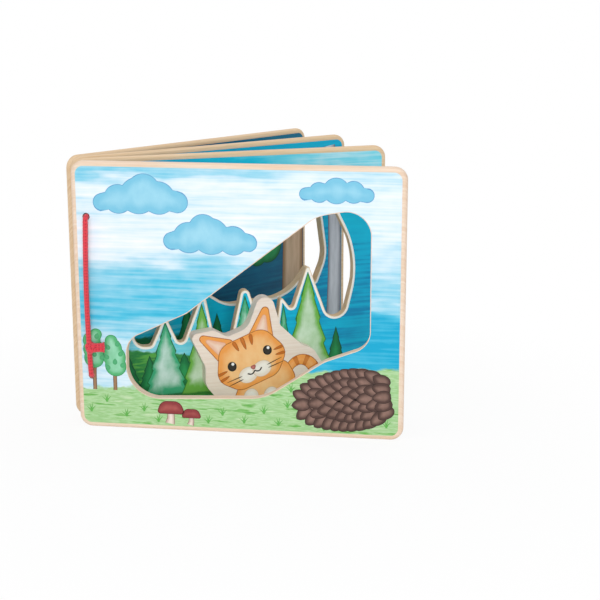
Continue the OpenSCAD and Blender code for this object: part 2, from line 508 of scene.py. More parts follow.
def widened(corners: Array, margin: float, least: float = 0.2) -> Array:
    """Moves every side of an outline outwards by a margin, with radii that follow.

    Each corner moves along the sum of its two sides' normals, as far as puts it on both moved sides.

    Args:
        corners: Rows of place along, height and radius, counter-clockwise.
        margin: Distance outwards.
        least: Smallest radius.

    Returns:
        The moved corners.
    """
    spot = corners[:, :2]
    on = unit(np.roll(spot, -1, 0) - spot)
    out = np.stack([on[:, 1], -on[:, 0]], 1)
    before = np.roll(out, 1, 0)
    shifted = spot + (before + out) * margin / (1 + (before * out).sum(1, keepdims=True))
    turn = np.sign(cross(np.roll(on, 1, 0), on))
    return np.column_stack([shifted, np.maximum(corners[:, 2] + turn * margin, least)])


def lobed(lobes: Triples, count: int = 140) -> Array:
    """Outline of overlapping discs, as the farthest reach of any disc along each ray from the origin.

    Args:
        lobes: Place along, height and radius of each disc, around the origin.
        count: Points on the outline.

    Returns:
        Points, counter-clockwise.
    """
    disc = np.array(lobes)
    angle = np.linspace(0, 2 * pi, count, endpoint=False)
    ray = np.stack([np.cos(angle), np.sin(angle)], 1)
    ahead = ray @ disc[:, :2].T
    inside = ahead ** 2 - (disc[:, :2] ** 2).sum(1) + disc[:, 2] ** 2
    reach = np.where(inside > 0, ahead + np.sqrt(np.maximum(inside, 0)), 0).max(1)
    return ray * reach[:, None]


def mirrored(right: Array) -> Array:
    """Joins the right half of an upright outline, from base to tip, to its mirror image."""
    return np.vstack([right, right[-2::-1] * (-1, 1)])


def conifer(width: float, height: float, tiers: int = 5, step: float = 0.22, slim: float = 0.9) -> Array:
    """Outline of a conifer on its base: half its width shrinks as a power, with a step at each tier.

    Args:
        width: Width at the base.
        height: Height of the tip.
        tiers: Steps on each side.
        step: Share of the width that a tier steps out.
        slim: Power by which the width shrinks.

    Returns:
        Points, counter-clockwise from the base's right end.
    """
    tier_points = 6
    up = np.linspace(0, 1, tiers * tier_points + 1)
    tier = 1 + step * (0.5 - (up * tiers) % 1) * (up < 1)
    half = width / 2 * (1 - up) ** slim * tier
    return mirrored(np.column_stack([half, up * height]))


def leaf(width: float, height: float, full: float = 0.8, count: int = 24, low: float = 0.75) -> Array:
    """Outline of a leaf on its base: half its width swells as a power of a sine from base to tip.

    Args:
        width: Greatest width.
        height: Height of the tip.
        full: Power of the sine, less for a fuller leaf.
        count: Points on each side.
        low: Power that moves the widest place towards the base.

    Returns:
        Points, counter-clockwise.
    """
    point = 0.02
    up = np.linspace(point, 1, count)
    half = width / 2 * np.sin(pi * up ** low) ** full
    return mirrored(np.column_stack([np.maximum(half, point), up * height]))


def oval(width: float, height: float, count: int = 40) -> Array:
    """Outline of an ellipse around the origin."""
    angle = np.linspace(0, 2 * pi, count, endpoint=False)
    return np.stack([np.cos(angle) * width / 2, np.sin(angle) * height / 2], 1)


def moved(points: Array, along: float, height: float, turn: float = 0.0) -> Array:
    """Turns flat points by an angle in degrees about the origin, then moves them."""
    c, s = cos(radians(turn)), sin(radians(turn))
    return points @ np.array([[c, s], [-s, c]]) + (along, height)


def clearance(points: Array, outline: Array) -> Array:
    """Distance of each point from the nearest side of a closed outline.

    Args:
        points: Flat points.
        outline: Points of the outline.

    Returns:
        A distance for each point, to its nearest place on any side.
    """
    side = np.roll(outline, -1, 0) - outline
    arm = points[:, None] - outline
    share = np.clip((arm * side).sum(-1) / (side ** 2).sum(-1), 0, 1)
    return np.linalg.norm(arm - share[..., None] * side, axis=-1).min(1)


# Surfaces


def grid_quads(rows: int, columns: int, closed: bool = False) -> Array:
    """Corner numbers of a grid's quads.

    Args:
        rows: Rows of points.
        columns: Points in a row.
        closed: Whether the last column joins the first.

    Returns:
        Four corners in each row.
    """
    first = np.arange(rows * columns).reshape(rows, columns)
    right = np.roll(first, -1, 1)
    quads = np.stack([first[:-1], right[:-1], right[1:], first[1:]], -1)
    return quads[:, slice(None) if closed else slice(0, -1)].reshape(-1, 4)


NO_TRIANGLES = np.zeros((0, 3), int)


@dataclass
class Surface:
    """A surface in the frame of a plate.

    Attributes:
        spots: Rows of place along, depth behind the front face, and height.
        place: Rows of the three values that its finish reads.
        quads: Corner numbers, counter-clockwise from outside.
        tris: The same for triangles.
    """

    spots: Array
    place: Array
    quads: Array
    tris: Array

    @staticmethod
    def joined(parts: Sequence["Surface"]) -> "Surface":
        """Gathers surfaces into one, each numbered after the points of those before it.

        Args:
            parts: The surfaces.

        Returns:
            The one surface.
        """
        starts = np.cumsum([0] + [len(part.spots) for part in parts[:-1]])
        return Surface(
            np.vstack([part.spots for part in parts]),
            np.vstack([part.place for part in parts]),
            np.vstack([part.quads + start for part, start in zip(parts, starts)]),
            np.vstack([part.tris + start for part, start in zip(parts, starts)]),
        )

    @staticmethod
    def printed(
        flat: Array, edge: Array, quads: Array, tris: Array = NO_TRIANGLES, lift: float = 0.0
    ) -> "Surface":
        """A flat print of points on the board, whose finish reads their distance from its outline."""
        spots = np.column_stack([flat[:, 0], np.full(len(flat), -lift), flat[:, 1]])
        return Surface(spots, np.column_stack([flat, edge]), quads, tris)

    @staticmethod
    def field(
        outline: Array, centre: Array | Pair | None = None, rings: int = 7, lift: float = 0.0
    ) -> "Surface":
        """Fills an outline: each ring is the outline drawn in towards the centre by a share.

        Args:
            outline: Points, counter-clockwise.
            centre: A point that sees the whole outline, or None for the mean of its points.
            rings: Rings from the outline to the centre.
            lift: Height over the film.

        Returns:
            The filled outline.
        """
        middle = outline.mean(0) if centre is None else np.array(centre)
        share = np.linspace(1, 0, rings, endpoint=False)
        count = len(outline)
        flat = np.vstack([(middle + share[:, None, None] * (outline - middle)).reshape(-1, 2), middle])
        last = np.arange(count) + (rings - 1) * count
        tris = np.stack([last, np.roll(last, -1), np.full(count, rings * count)], 1)
        return Surface.printed(flat, clearance(flat, outline), grid_quads(rings, count, True), tris, lift)

    @staticmethod
    def band(along: Array, low: Array, high: Array) -> "Surface":
        """Fills the space between two heights given at each place along."""
        flat = np.vstack([np.column_stack([along, low]), np.column_stack([along, high])])
        return Surface.printed(flat, np.full(len(flat), NO_EDGE), grid_quads(2, len(along)))

    @staticmethod
    def ribbon(path: Array, width: Array | float, lift: float = 0.0) -> "Surface":
        """A stroke along a path: points beside it, at shares of its width to either hand.

        Args:
            path: Points along the stroke.
            width: Width of the stroke, at each point or all along.
            lift: Height over the film.

        Returns:
            The stroke.
        """
        widths = np.broadcast_to(width, len(path))
        on = unit(np.gradient(path, axis=0))
        left = np.stack([-on[:, 1], on[:, 0]], 1) * widths[:, None]
        share = np.array([-0.5, 0.0, 0.5])
        flat = (path + share[:, None, None] * left).reshape(-1, 2)
        edge = np.outer(0.5 - np.abs(share), widths).ravel()
        return Surface.printed(flat, edge, grid_quads(3, len(path)), lift=lift)


# Plates: the boards and the figure


@dataclass(frozen=True)
class Plate:
    """A flat wooden piece with its own frame: place along it, depth behind its front face, and height."""

    body: str
    node: str
    origin: Pair  # Front corner of its spine edge
    turn: float  # Angle about the upright, in radians
    thickness: float

    def world(self, along: Array, depth: Array | float, height: Array) -> Array:
        """Turns places on the plate into metres in the row frame.

        Args:
            along: Distances from the spine edge.
            depth: Distances behind the front face.
            height: Heights.

        Returns:
            Rows of x, y and z.
        """
        c, s = cos(self.turn), sin(self.turn)
        x = self.origin[0] + along * c - depth * s
        y = self.origin[1] + along * s + depth * c
        return np.column_stack([x, y, height]) * MM

    def piece(
        self, name: str, surface: Surface, finish: Finish, slot: str, smooth: bool = False
    ) -> bpy.types.Object:
        """Makes a mesh object at the origin from a surface in the plate's frame.

        Args:
            name: Name of the piece.
            surface: Its surface.
            finish: Its finish.
            slot: The record's material slot that it belongs to; not used.
            smooth: Whether its faces are shaded as one round surface.

        Returns:
            The linked object.
        """
        mesh = bpy.data.meshes.new(name)
        faces = surface.quads.tolist() + surface.tris.tolist()
        mesh.from_pydata(self.world(*surface.spots.T).tolist(), [], faces)
        mesh.polygons.foreach_set("use_smooth", np.full(len(faces), smooth))
        stored = mesh.attributes.new(PLACE, "FLOAT_VECTOR", "POINT")
        stored.data.foreach_set("vector", np.ascontiguousarray(surface.place, np.float32).ravel())
        mesh.materials.append(finish.material())
        mesh.update()
        made = bpy.data.objects.new(name, mesh)
        bpy.context.scene.collection.objects.link(made)
        LOG.info("%s: %d points, %s", name, len(surface.spots), finish.name)
        return made

    def film(
        self, name: str, drawn: Surface, finish: Finish, layer: int = 0, side: Side = Side.FRONT
    ) -> None:
        """Lays a print on one of the plate's faces, where it rides with the plate.

        Args:
            name: Name of the piece.
            drawn: The flat print.
            finish: Its finish.
            layer: Films below it.
            side: The face that it lies on.
        """
        proud = FILM + LAYER * layer
        laid = Surface(drawn.spots - (0, proud, 0), drawn.place, drawn.quads, drawn.tris)
        if side is Side.BACK:
            laid.spots = laid.spots * (1, -1, 1) + (0, self.thickness, 0)
            laid.quads, laid.tris = laid.quads[:, ::-1], laid.tris[:, ::-1]
        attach(self.piece(name, laid, finish, SLOTS[self.node]), self.body)


@dataclass(frozen=True)
class BookSizes:
    """Sizes of the book. The blank's own sizes come from the frame."""

    fan: Triple = (25.5, 15.6, 11.1)  # Degrees from each board to the next
    slides: Triple = (0.0, 0.9, 0.9)  # Of each board off the spine edge before it
    gap: float = 0.3  # Between two shut boards
    hinge_out: float = 0.2  # From the spine edges to a pair's pivot
    corner: float = 7.0  # Radius
    hole_in: float = 8.0  # From the spine edge
    hole_end: float = 30.0  # From the top and bottom edges
    hole: float = 4.0  # Diameter
    bare_rim: float = 2.7  # Bare wood round the print
    arc_steps: int = 9
    hole_steps: int = 25

    @property
    def hole_heights(self) -> Pair:
        """Heights of the lower and the upper cord hole."""
        return self.hole_end, BOARD_H - self.hole_end

    def plates(self) -> dict[Board, Plate]:
        """Places each board: turned about a line behind the one before it, and slid off its spine edge.

        Returns:
            A plate for each board.
        """
        origin, turn = np.array([-BOARD_W / 2, -BOARD_T / 2]), 0.0
        placed = {}
        for board, angle, slide in zip(Board, (*self.fan, 0.0), (*self.slides, 0.0)):
            plate = Plate(board.value, board.value, tuple(origin), turn, BOARD_T)
            placed[board] = plate
            at = np.array([slide - self.hinge_out])
            hinge = plate.world(at, BOARD_T + self.gap / 2, np.zeros(1))[0, :2] / MM
            turn += radians(angle)
            origin = hinge + self.hinge_out * np.array([cos(turn), sin(turn)])
            origin = origin + self.gap / 2 * np.array([-sin(turn), cos(turn)])
        return placed

    def edges(self, along: Array) -> tuple[Array, Array]:
        """Lower and upper edge of the print: straight, with round corners inside the bare rim.

        Args:
            along: Distances from the spine edge.

        Returns:
            The two heights at each place.
        """
        radius = self.corner - self.bare_rim
        short = np.maximum(self.corner - along, along - BOARD_W + self.corner)
        drop = radius - np.sqrt(radius ** 2 - np.clip(short, 0, radius) ** 2)
        return self.bare_rim + drop, BOARD_H - self.bare_rim - drop

    def window(self, shares: Array, margin: float, steps: int = 12) -> Array:
        """Outline of an opening, widened by a margin that the print keeps from it."""
        return rounded(widened(shares * (BOARD_W, BOARD_H, BOARD_H), margin), steps)

    def sheet(self, opening: Array | None) -> Surface:
        """The printed face: bands between the blank's edges, the cord holes and the opening.

        Args:
            opening: Outline of the opening, or None.

        Returns:
            The sheet.
        """
        swing = np.cos(np.linspace(0, pi / 2, self.arc_steps))
        round_off = self.bare_rim + (self.corner - self.bare_rim) * (1 - swing)
        ring = self.hole_in - np.cos(np.linspace(0, pi, self.hole_steps)) * self.hole / 2
        seam = 2 * self.hole_in
        near = np.unique(np.concatenate([round_off, ring, [seam]]))
        arch = np.sqrt(np.maximum((self.hole / 2) ** 2 - (near - self.hole_in) ** 2, 0))
        floor, roof = self.edges(near)
        low, high = self.hole_heights
        bands = [
            Surface.band(near, floor, low - arch),
            Surface.band(near, low + arch, high - arch),
            Surface.band(near, high + arch, roof),
        ]
        far = np.append(BOARD_W - round_off, seam)
        if opening is None:
            far = np.unique(far)
            return Surface.joined(bands + [Surface.band(far, *self.edges(far))])
        start, end = opening[:, 0].argmin(), opening[:, 0].argmax()
        turned = np.roll(opening, -start, 0)
        split = (end - start) % len(opening)
        below, above = turned[:split + 1], np.vstack([turned[split:], turned[:1]])[::-1]
        far = np.unique(np.concatenate([far, opening[:, 0]]))
        floor, roof = self.edges(far)
        bands.append(Surface.band(far, floor, np.interp(far, *below.T)))
        bands.append(Surface.band(far, np.interp(far, *above.T), roof))
        return Surface.joined(bands)


# Openings: shares of the board's width and height, and each corner's radius as a share of the height


FRONT_WINDOW_SHARES = np.array([
    (0.153, 0.119, 0.120), (0.578, 0.140, 0.200), (0.761, 0.289, 0.170), (0.897, 0.352, 0.080),
    (0.897, 0.854, 0.087), (0.739, 0.821, 0.168), (0.344, 0.450, 0.134), (0.156, 0.342, 0.080),
])
TREELINE_WINDOW_SHARES = np.array([
    (0.171, 0.277, 0.044), (0.224, 0.277, 0.017), (0.269, 0.395, 0.008), (0.319, 0.256, 0.017),
    (0.394, 0.485, 0.012), (0.453, 0.132, 0.033), (0.527, 0.523, 0.019), (0.616, 0.165, 0.028),
    (0.646, 0.436, 0.008), (0.685, 0.372, 0.011), (0.737, 0.557, 0.008), (0.838, 0.226, 0.046),
    (0.908, 0.566, 0.376), (0.811, 0.801, 0.094), (0.171, 0.801, 0.161),
])
HILL_WINDOW_SHARES = np.array([
    (0.183, 0.416, 0.034), (0.383, 0.479, 0.094), (0.528, 0.362, 0.168), (0.771, 0.362, 0.201),
    (0.853, 0.479, 0.008), (0.865, 0.366, 0.013), (0.918, 0.505, 0.161), (0.879, 0.812, 0.134),
    (0.183, 0.812, 0.161),
])


# Birch: all boards are one wood. The boards behind the front cover get a darker copy of it, painted shade for
# their edges that lie in the fan's shadow, and the figure is the palest


COVER_WOOD = ("#F1DFCE", "#E2C4A8")
SHADED_PAGE_WOOD = ("#EDD5B6", "#D8B68C")
FIGURE_WOOD = ("#F7EBE0", "#EBD8C8")

# Washes: thin paint that lets the primer through in streaks, deeper where it was laid twice

SKY_TINTS = ((0.0, "#F4F6FC"), (0.28, "#D8EBF6"), (0.5, "#A0D6EA"), (0.75, "#4FBFDE"), (1.0, "#08A6CF"))
POOL_TINTS = ((0.0, "#DCEFF4"), (0.35, "#70D3E6"), (0.6, "#00BEDD"), (0.85, "#00ABD2"), (1.0, "#008ABB"))
DUSK_TINTS = ((0.0, "#3F9BB0"), (0.4, "#14809E"), (0.7, "#0A6486"), (1.0, "#084A6A"))
MEADOW = ((0.30, "#C6DDB4"), (0.44, "#98C786"), (0.54, "#B4D6A3"), (0.64, "#72B55A"), (0.76, "#44943D"))
WOODLAND = ((0.30, "#3F9A4A"), (0.46, "#1F7A3C"), (0.6, "#57A845"), (0.75, "#17613A"))
SHADE = ((0.30, "#1F7C4F"), (0.5, "#0F6540"), (0.7, "#2A8A4C"))

COVER_SKY = Wash(
    "satin_print_cover_sky",
    left=((0, 0.3), (46, 0.36), (57, 0.52), (66, 0.74), (80, 0.68), (91, 0.56), (99, 0.2), (116, 0.14),
          (126, 0.3), (134, 0.2), (139, 0.36), (143, 0.6), (149, 0.54)),
    right=((0, 0.5), (42, 0.95), (62, 1.0), (69, 0.9), (75, 0.46), (85, 0.62), (93, 0.42), (105, 0.38),
           (112, 0.18), (124, 0.24), (135, 0.16), (149, 0.42)),
    tints=SKY_TINTS, ground=MEADOW, horizon=(23.0, 40.0))
PAGE_ONE_SKY = Wash(
    "satin_print_lake_sky",
    left=((0, 0.2), (25, 0.22), (60, 0.3), (85, 0.7), (149, 0.85)),
    right=((0, 0.75), (30, 0.85), (60, 0.92), (95, 0.82), (118, 0.6), (132, 0.4), (149, 0.25)),
    tints=POOL_TINTS, ground=WOODLAND, horizon=(42.0, 12.0))
PAGE_TWO_SKY = Wash(
    "satin_print_deep_sky",
    left=((0, 0.6), (60, 0.5), (149, 0.9)), right=((0, 0.85), (60, 0.95), (149, 0.8)),
    tints=POOL_TINTS, ground=SHADE, horizon=(44.0, 30.0))
BACK_COVER_DUSK = Wash(
    "satin_print_dusk",
    left=((0, 0.7), (60, 0.85), (149, 0.95)), right=((0, 0.6), (60, 0.75), (149, 0.6)),
    tints=DUSK_TINTS, ground=SHADE, horizon=(30.0, 24.0))
PLAIN_SKY = Wash(
    "satin_print_plain_sky",
    left=((0, 0.2), (60, 0.5), (100, 0.3), (149, 0.5)), right=((0, 0.4), (60, 0.6), (100, 0.25), (149, 0.4)),
    tints=SKY_TINTS, ground=MEADOW, horizon=(30.0, 30.0))

# Printed fields: thin, dark and line colour. Wet paint pooled at their edges, and a pen drew round them


def ink(name: str, light: str, dark: str, line: str, **sizes: Any) -> Pigment:
    """A printed field of the named paint, with any sizes that differ from the usual."""
    return Pigment(name, light=light, dark=dark, line=line, **sizes)


PRIMER = ink("white_primer", "#FBF5EC", "#F3E8DA", "#F3E8DA", line_width=0.1, bloom=Mottle(30, 4))
CLOUD_BLUE = ink("printed_cloud_blue", "#9ED6EA", "#7AC3DF", "#5F9FCB", pool=7)
LEAF_MINT = ink("printed_leaf_mint", "#9EDBBB", "#55B274", "#2F8F55")
LEAF_DEEP = ink("printed_leaf_deep", "#57B079", "#4AA56E", "#4AA56E", line_width=0.1, pool=1)
FIR_MINT = ink("printed_fir_mint", "#D2ECE4", "#3FAE7E", "#1E6B3C", line_width=0.7, pool=5)
FIR_LIME = ink("printed_fir_lime", "#CFE6CC", "#6DB348", "#2F7A2B", line_width=0.7, pool=5)
FIR_DEEP = ink("printed_fir_deep", "#2B9A58", "#12703E", "#0C4F30", line_width=0.7)
CAP_RED = ink("printed_cap_red", "#B9615A", "#8E3A3C", "#5E2529")
STEM_CREAM = ink("printed_stem_cream", "#F3E6DA", "#CDB2A6", "#8A6660", line_width=0.4, pool=2)
CONE_BROWN = ink("printed_cone_brown", "#947468", "#503A34", "#33231F", line_width=0.4, pool=3.2)
BLADE_GREEN = ink("printed_blade_green", "#86C66C", "#62AE50", "#62AE50", line_width=0.1, pool=1)
BARK_GREY = ink("printed_bark_grey", "#CFD2D8", "#8F939C", "#62666D", pool=3, bloom=Mottle(3, 22))
BARK_BROWN = ink("printed_bark_brown", "#D3B597", "#9C7858", "#674C37", bloom=Mottle(3, 26))
COAT_ORANGE = ink("printed_coat_orange", "#FFCE92", "#F6A452", "#A85C24", pool=7)
COAT_DEEP = ink("printed_coat_deep", "#E08A40", "#C66C26", "#8A4518", line_width=0.2, pool=2)
COAT_CREAM = ink("printed_coat_cream", "#FFFCF6", "#F1E4D6", "#D8B998", line_width=0.3, pool=3)
COAT_PINK = ink("printed_coat_pink", "#FBE3D2", "#F0BFA2", "#E3A27E", line_width=0.3, pool=3)
NOSE_PINK = ink("printed_nose_pink", "#D98C83", "#B9655F", "#8E4A45", line_width=0.3, pool=1.5)
EYE_BLACK = ink("printed_eye_black", "#3B3531", "#1D1917", "#1D1917", line_width=0.2, pool=1)
EYE_LIGHT = ink("printed_eye_light", "#FFFFFF", "#F2F2F2", "#FFFFFF", line_width=0.05, pool=1)
CORD_RED = CottonBraid("braided_cotton_cord")


# Sub-assemblies


@dataclass(frozen=True)
class Cluster:
    """Overlapping lobes round a place on a board, as a cloud or a crown of leaves."""

    along: float
    height: float
    lobes: Triples  # Place along, height and radius of each, round the middle

    def surface(self) -> Surface:
        """Fills the outline of the lobes."""
        middle = (self.along, self.height)
        return Surface.field(moved(lobed(self.lobes), *middle), middle)


@dataclass(frozen=True)
class Cone:
    """A cone on its side: staggered rows of scales from tip to base, each over the one before it."""

    at: Pair = (148.0, 21.5)
    turn: float = 8.0  # Degrees
    length: float = 48.0
    width: float = 31.0
    reach: Pair = (-0.97, 0.88)  # First and last row, as shares of half the length
    rows: int = 11
    shift: float = 4.6  # Of the rows, towards the base
    egg: Pair = (0.86, 0.2)  # Share of the width at the middle, and its growth towards the base
    pitch: float = 5.0  # Between scales, on either side of a row's middle
    side_share: float = 0.82  # Place of a row's last scales, as a share of half its width
    scale: Pair = (7.4, 10.5)  # Width and length of a scale
    scale_full: float = 0.55
    scale_points: int = 12
    scale_rings: int = 4
    splay: float = 34.0  # Degrees that a row's last scales turn out
    row_lift: float = 0.004  # Of each row over the one before it
    crown_lift: float = 0.002  # Of a row's middle over its ends
    core: Pair = (0.94, 0.7)  # The field under the scales, as shares of length and width
    core_shift: float = 1.5

    def surface(self) -> Surface:
        """Lays the scales over a plain oval.

        Half the cone's width at a row is that of an egg: a half circle, drawn in towards the tip.

        Returns:
            The whole cone.
        """
        core = oval(self.length * self.core[0], self.width * self.core[1]) + (self.core_shift, 0)
        scales = [Surface.field(moved(core, *self.at, self.turn))]
        blade = leaf(*self.scale, self.scale_full, self.scale_points)
        for row, share in enumerate(np.linspace(*self.reach, self.rows)):
            half = self.width / 2 * (1 - share ** 2) ** 0.5 * (self.egg[0] + self.egg[1] * share)
            count = max(1, 2 * round(half / self.pitch) + (row + 1) % 2)
            for side in np.linspace(-1, 1, count) if count > 1 else np.zeros(1):
                spot = (share * self.length / 2 + self.shift, side * half * self.side_share)
                outline = moved(moved(blade, *spot, 90 - self.splay * side), *self.at, self.turn)
                lift = self.row_lift * (row + 1) + self.crown_lift * (1 - abs(side))
                scales.append(Surface.field(outline, rings=self.scale_rings, lift=lift))
        return Surface.joined(scales)


@dataclass(frozen=True)
class CoverArt:
    """The front cover's print: sky and meadow, clouds, leafy trees, grass tufts, mushrooms and a cone."""

    sizes: BookSizes
    plate: Plate
    margin: float = 0.45  # Bare wood round the window
    window_steps: int = 14
    clouds: tuple[Cluster, ...] = (
        Cluster(37, 131, ((0, 0, 10), (-11, -2, 8), (11, -1, 9), (-20, -4, 5), (21, -3, 6), (3, 3, 9))),
        Cluster(76, 110, ((0, 0, 10), (-12, -1, 8.5), (12, -2, 8), (-21, -3, 5), (20, -3, 5), (-4, 4, 8))),
        Cluster(143, 136, ((0, 0, 7), (-9, -1, 5.5), (9, -0.5, 6), (16, -2, 4), (-16, -2, 3.6))),
    )
    crowns: tuple[Cluster, ...] = (
        Cluster(9.5, 45.0, ((0, 0, 6), (-1, 5, 5), (0, -5, 5.6), (1.5, 8.5, 3.4))),
        Cluster(21.0, 41.0, ((0, 0, 6.4), (-1, 5, 5.4), (0.6, -5, 6), (-1.5, 9, 3.6))),
    )
    trunk_heights: Pair = (22.0, 30.0)  # Of its foot and its middle
    trunk_width: float = 2.2
    trunk_lean: float = 0.4
    trunk_hidden: float = 4.0  # From a trunk's top to its crown's middle
    leaf_size: Pair = (2.6, 3.6)  # Width and length
    leaf_fan: float = -14.0  # Degrees for each millimetre from the crown's middle
    leaf_rings: int = 3
    # Place along and height of each leaf, from the crown's middle
    leaf_spots: tuple[Pair, ...] = (
        (-2.6, 4.2), (1.4, 6.0), (2.6, 0.6), (-3.2, -1.2), (0.2, -4.4), (3.4, -5.6), (-2.8, -7.2),
    )
    # Foot of each
    tufts: tuple[Pair, ...] = (
        (7, 9), (16, 15), (27, 7), (37, 10.5), (45, 4.5), (73, 5), (81, 10), (93, 6), (104, 12), (112, 5.5),
        (117, 16), (119, 25), (137, 4), (171, 7),
    )
    blades: tuple[Pair, ...] = ((-2.6, 2.8), (-1.0, 4.4), (0.8, 4.9), (2.4, 3.4))  # Lean and height of each
    blade_width: float = 1.0
    blade_taper: float = 0.85  # Share of the width that is lost at the tip
    blade_curl: float = 1.6  # Power by which a blade bends over
    blade_lift: float = 0.004  # Of each blade over the one before it
    blade_points: int = 7
    mushrooms: Triples = ((52.0, 4.0, 1.0), (63.5, 3.6, 0.72))  # Place along, foot and size of each
    stem: Triples = ((-0.6, 0, 5.5), (0, 3, 4.2), (0, 8, 3.8))  # Lean, height and width, from foot to top
    # Corners, for a mushroom of size one
    cap: Triples = ((-8, 5.5, 1.6), (8, 5.5, 1.6), (5.6, 13, 5), (-5.6, 13, 5))
    cap_middle: float = 8.5
    cone: Cone = Cone()

    def build(self) -> None:
        """Lays the cover's films, from the wash up."""
        sheet = self.sizes.sheet(self.sizes.window(FRONT_WINDOW_SHARES, self.margin, self.window_steps))
        self.plate.film("cover_wash", sheet, COVER_SKY)
        clouds = [cloud.surface() for cloud in self.clouds]
        self.plate.film("cover_clouds", Surface.joined(clouds), CLOUD_BLUE, 1)
        self.lay_trees()
        self.lay_tufts()
        self.lay_mushrooms()
        self.plate.film("cover_cone", self.cone.surface(), CONE_BROWN, 1)
        self.plate.film("cover_plain_inside", sheet, PLAIN_SKY, side=Side.BACK)

    def lay_trees(self) -> None:
        """Leafy trees by the spine: a trunk, a crown and the leaves drawn on it."""
        trunks, leaves = [], []
        foot, middle = self.trunk_heights
        for crown in self.crowns:
            x, top = crown.along, (crown.along + self.trunk_lean, crown.height - self.trunk_hidden)
            trunks.append(Surface.ribbon(np.array([(x, foot), (x, middle), top]), self.trunk_width))
            for along, up in self.leaf_spots:
                outline = moved(leaf(*self.leaf_size), x + along, crown.height + up, self.leaf_fan * along)
                leaves.append(Surface.field(outline, rings=self.leaf_rings))
        self.plate.film("cover_tree_trunks", Surface.joined(trunks), BARK_BROWN, 1)
        crowns = [crown.surface() for crown in self.crowns]
        self.plate.film("cover_tree_crowns", Surface.joined(crowns), LEAF_MINT, 2)
        self.plate.film("cover_tree_leaves", Surface.joined(leaves), LEAF_DEEP, 3)

    def lay_tufts(self) -> None:
        """Tufts of grass: blades that fan out from one foot, each a stroke that narrows to its tip."""
        share = np.linspace(0, 1, self.blade_points)
        width = self.blade_width * (1 - self.blade_taper * share)
        strokes = []
        for x, z in self.tufts:
            for k, (lean, tall) in enumerate(self.blades):
                path = np.column_stack([x + lean * share ** self.blade_curl, z + tall * share])
                strokes.append(Surface.ribbon(path, width, self.blade_lift * k))
        self.plate.film("cover_tufts", Surface.joined(strokes), BLADE_GREEN, 1)

    def lay_mushrooms(self) -> None:
        """Mushrooms: a stem under a domed cap."""
        stems, caps = [], []
        lean, height, width = np.array(self.stem).T
        for x, foot, size in self.mushrooms:
            path = np.column_stack([x + lean, foot + height * size])
            stems.append(Surface.ribbon(path, width * size))
            dome = rounded(np.array(self.cap) * size) + (x, foot)
            caps.append(Surface.field(dome, (x, foot + self.cap_middle * size)))
        self.plate.film("cover_mushroom_stems", Surface.joined(stems), STEM_CREAM, 1)
        self.plate.film("cover_mushroom_caps", Surface.joined(caps), CAP_RED, 2)


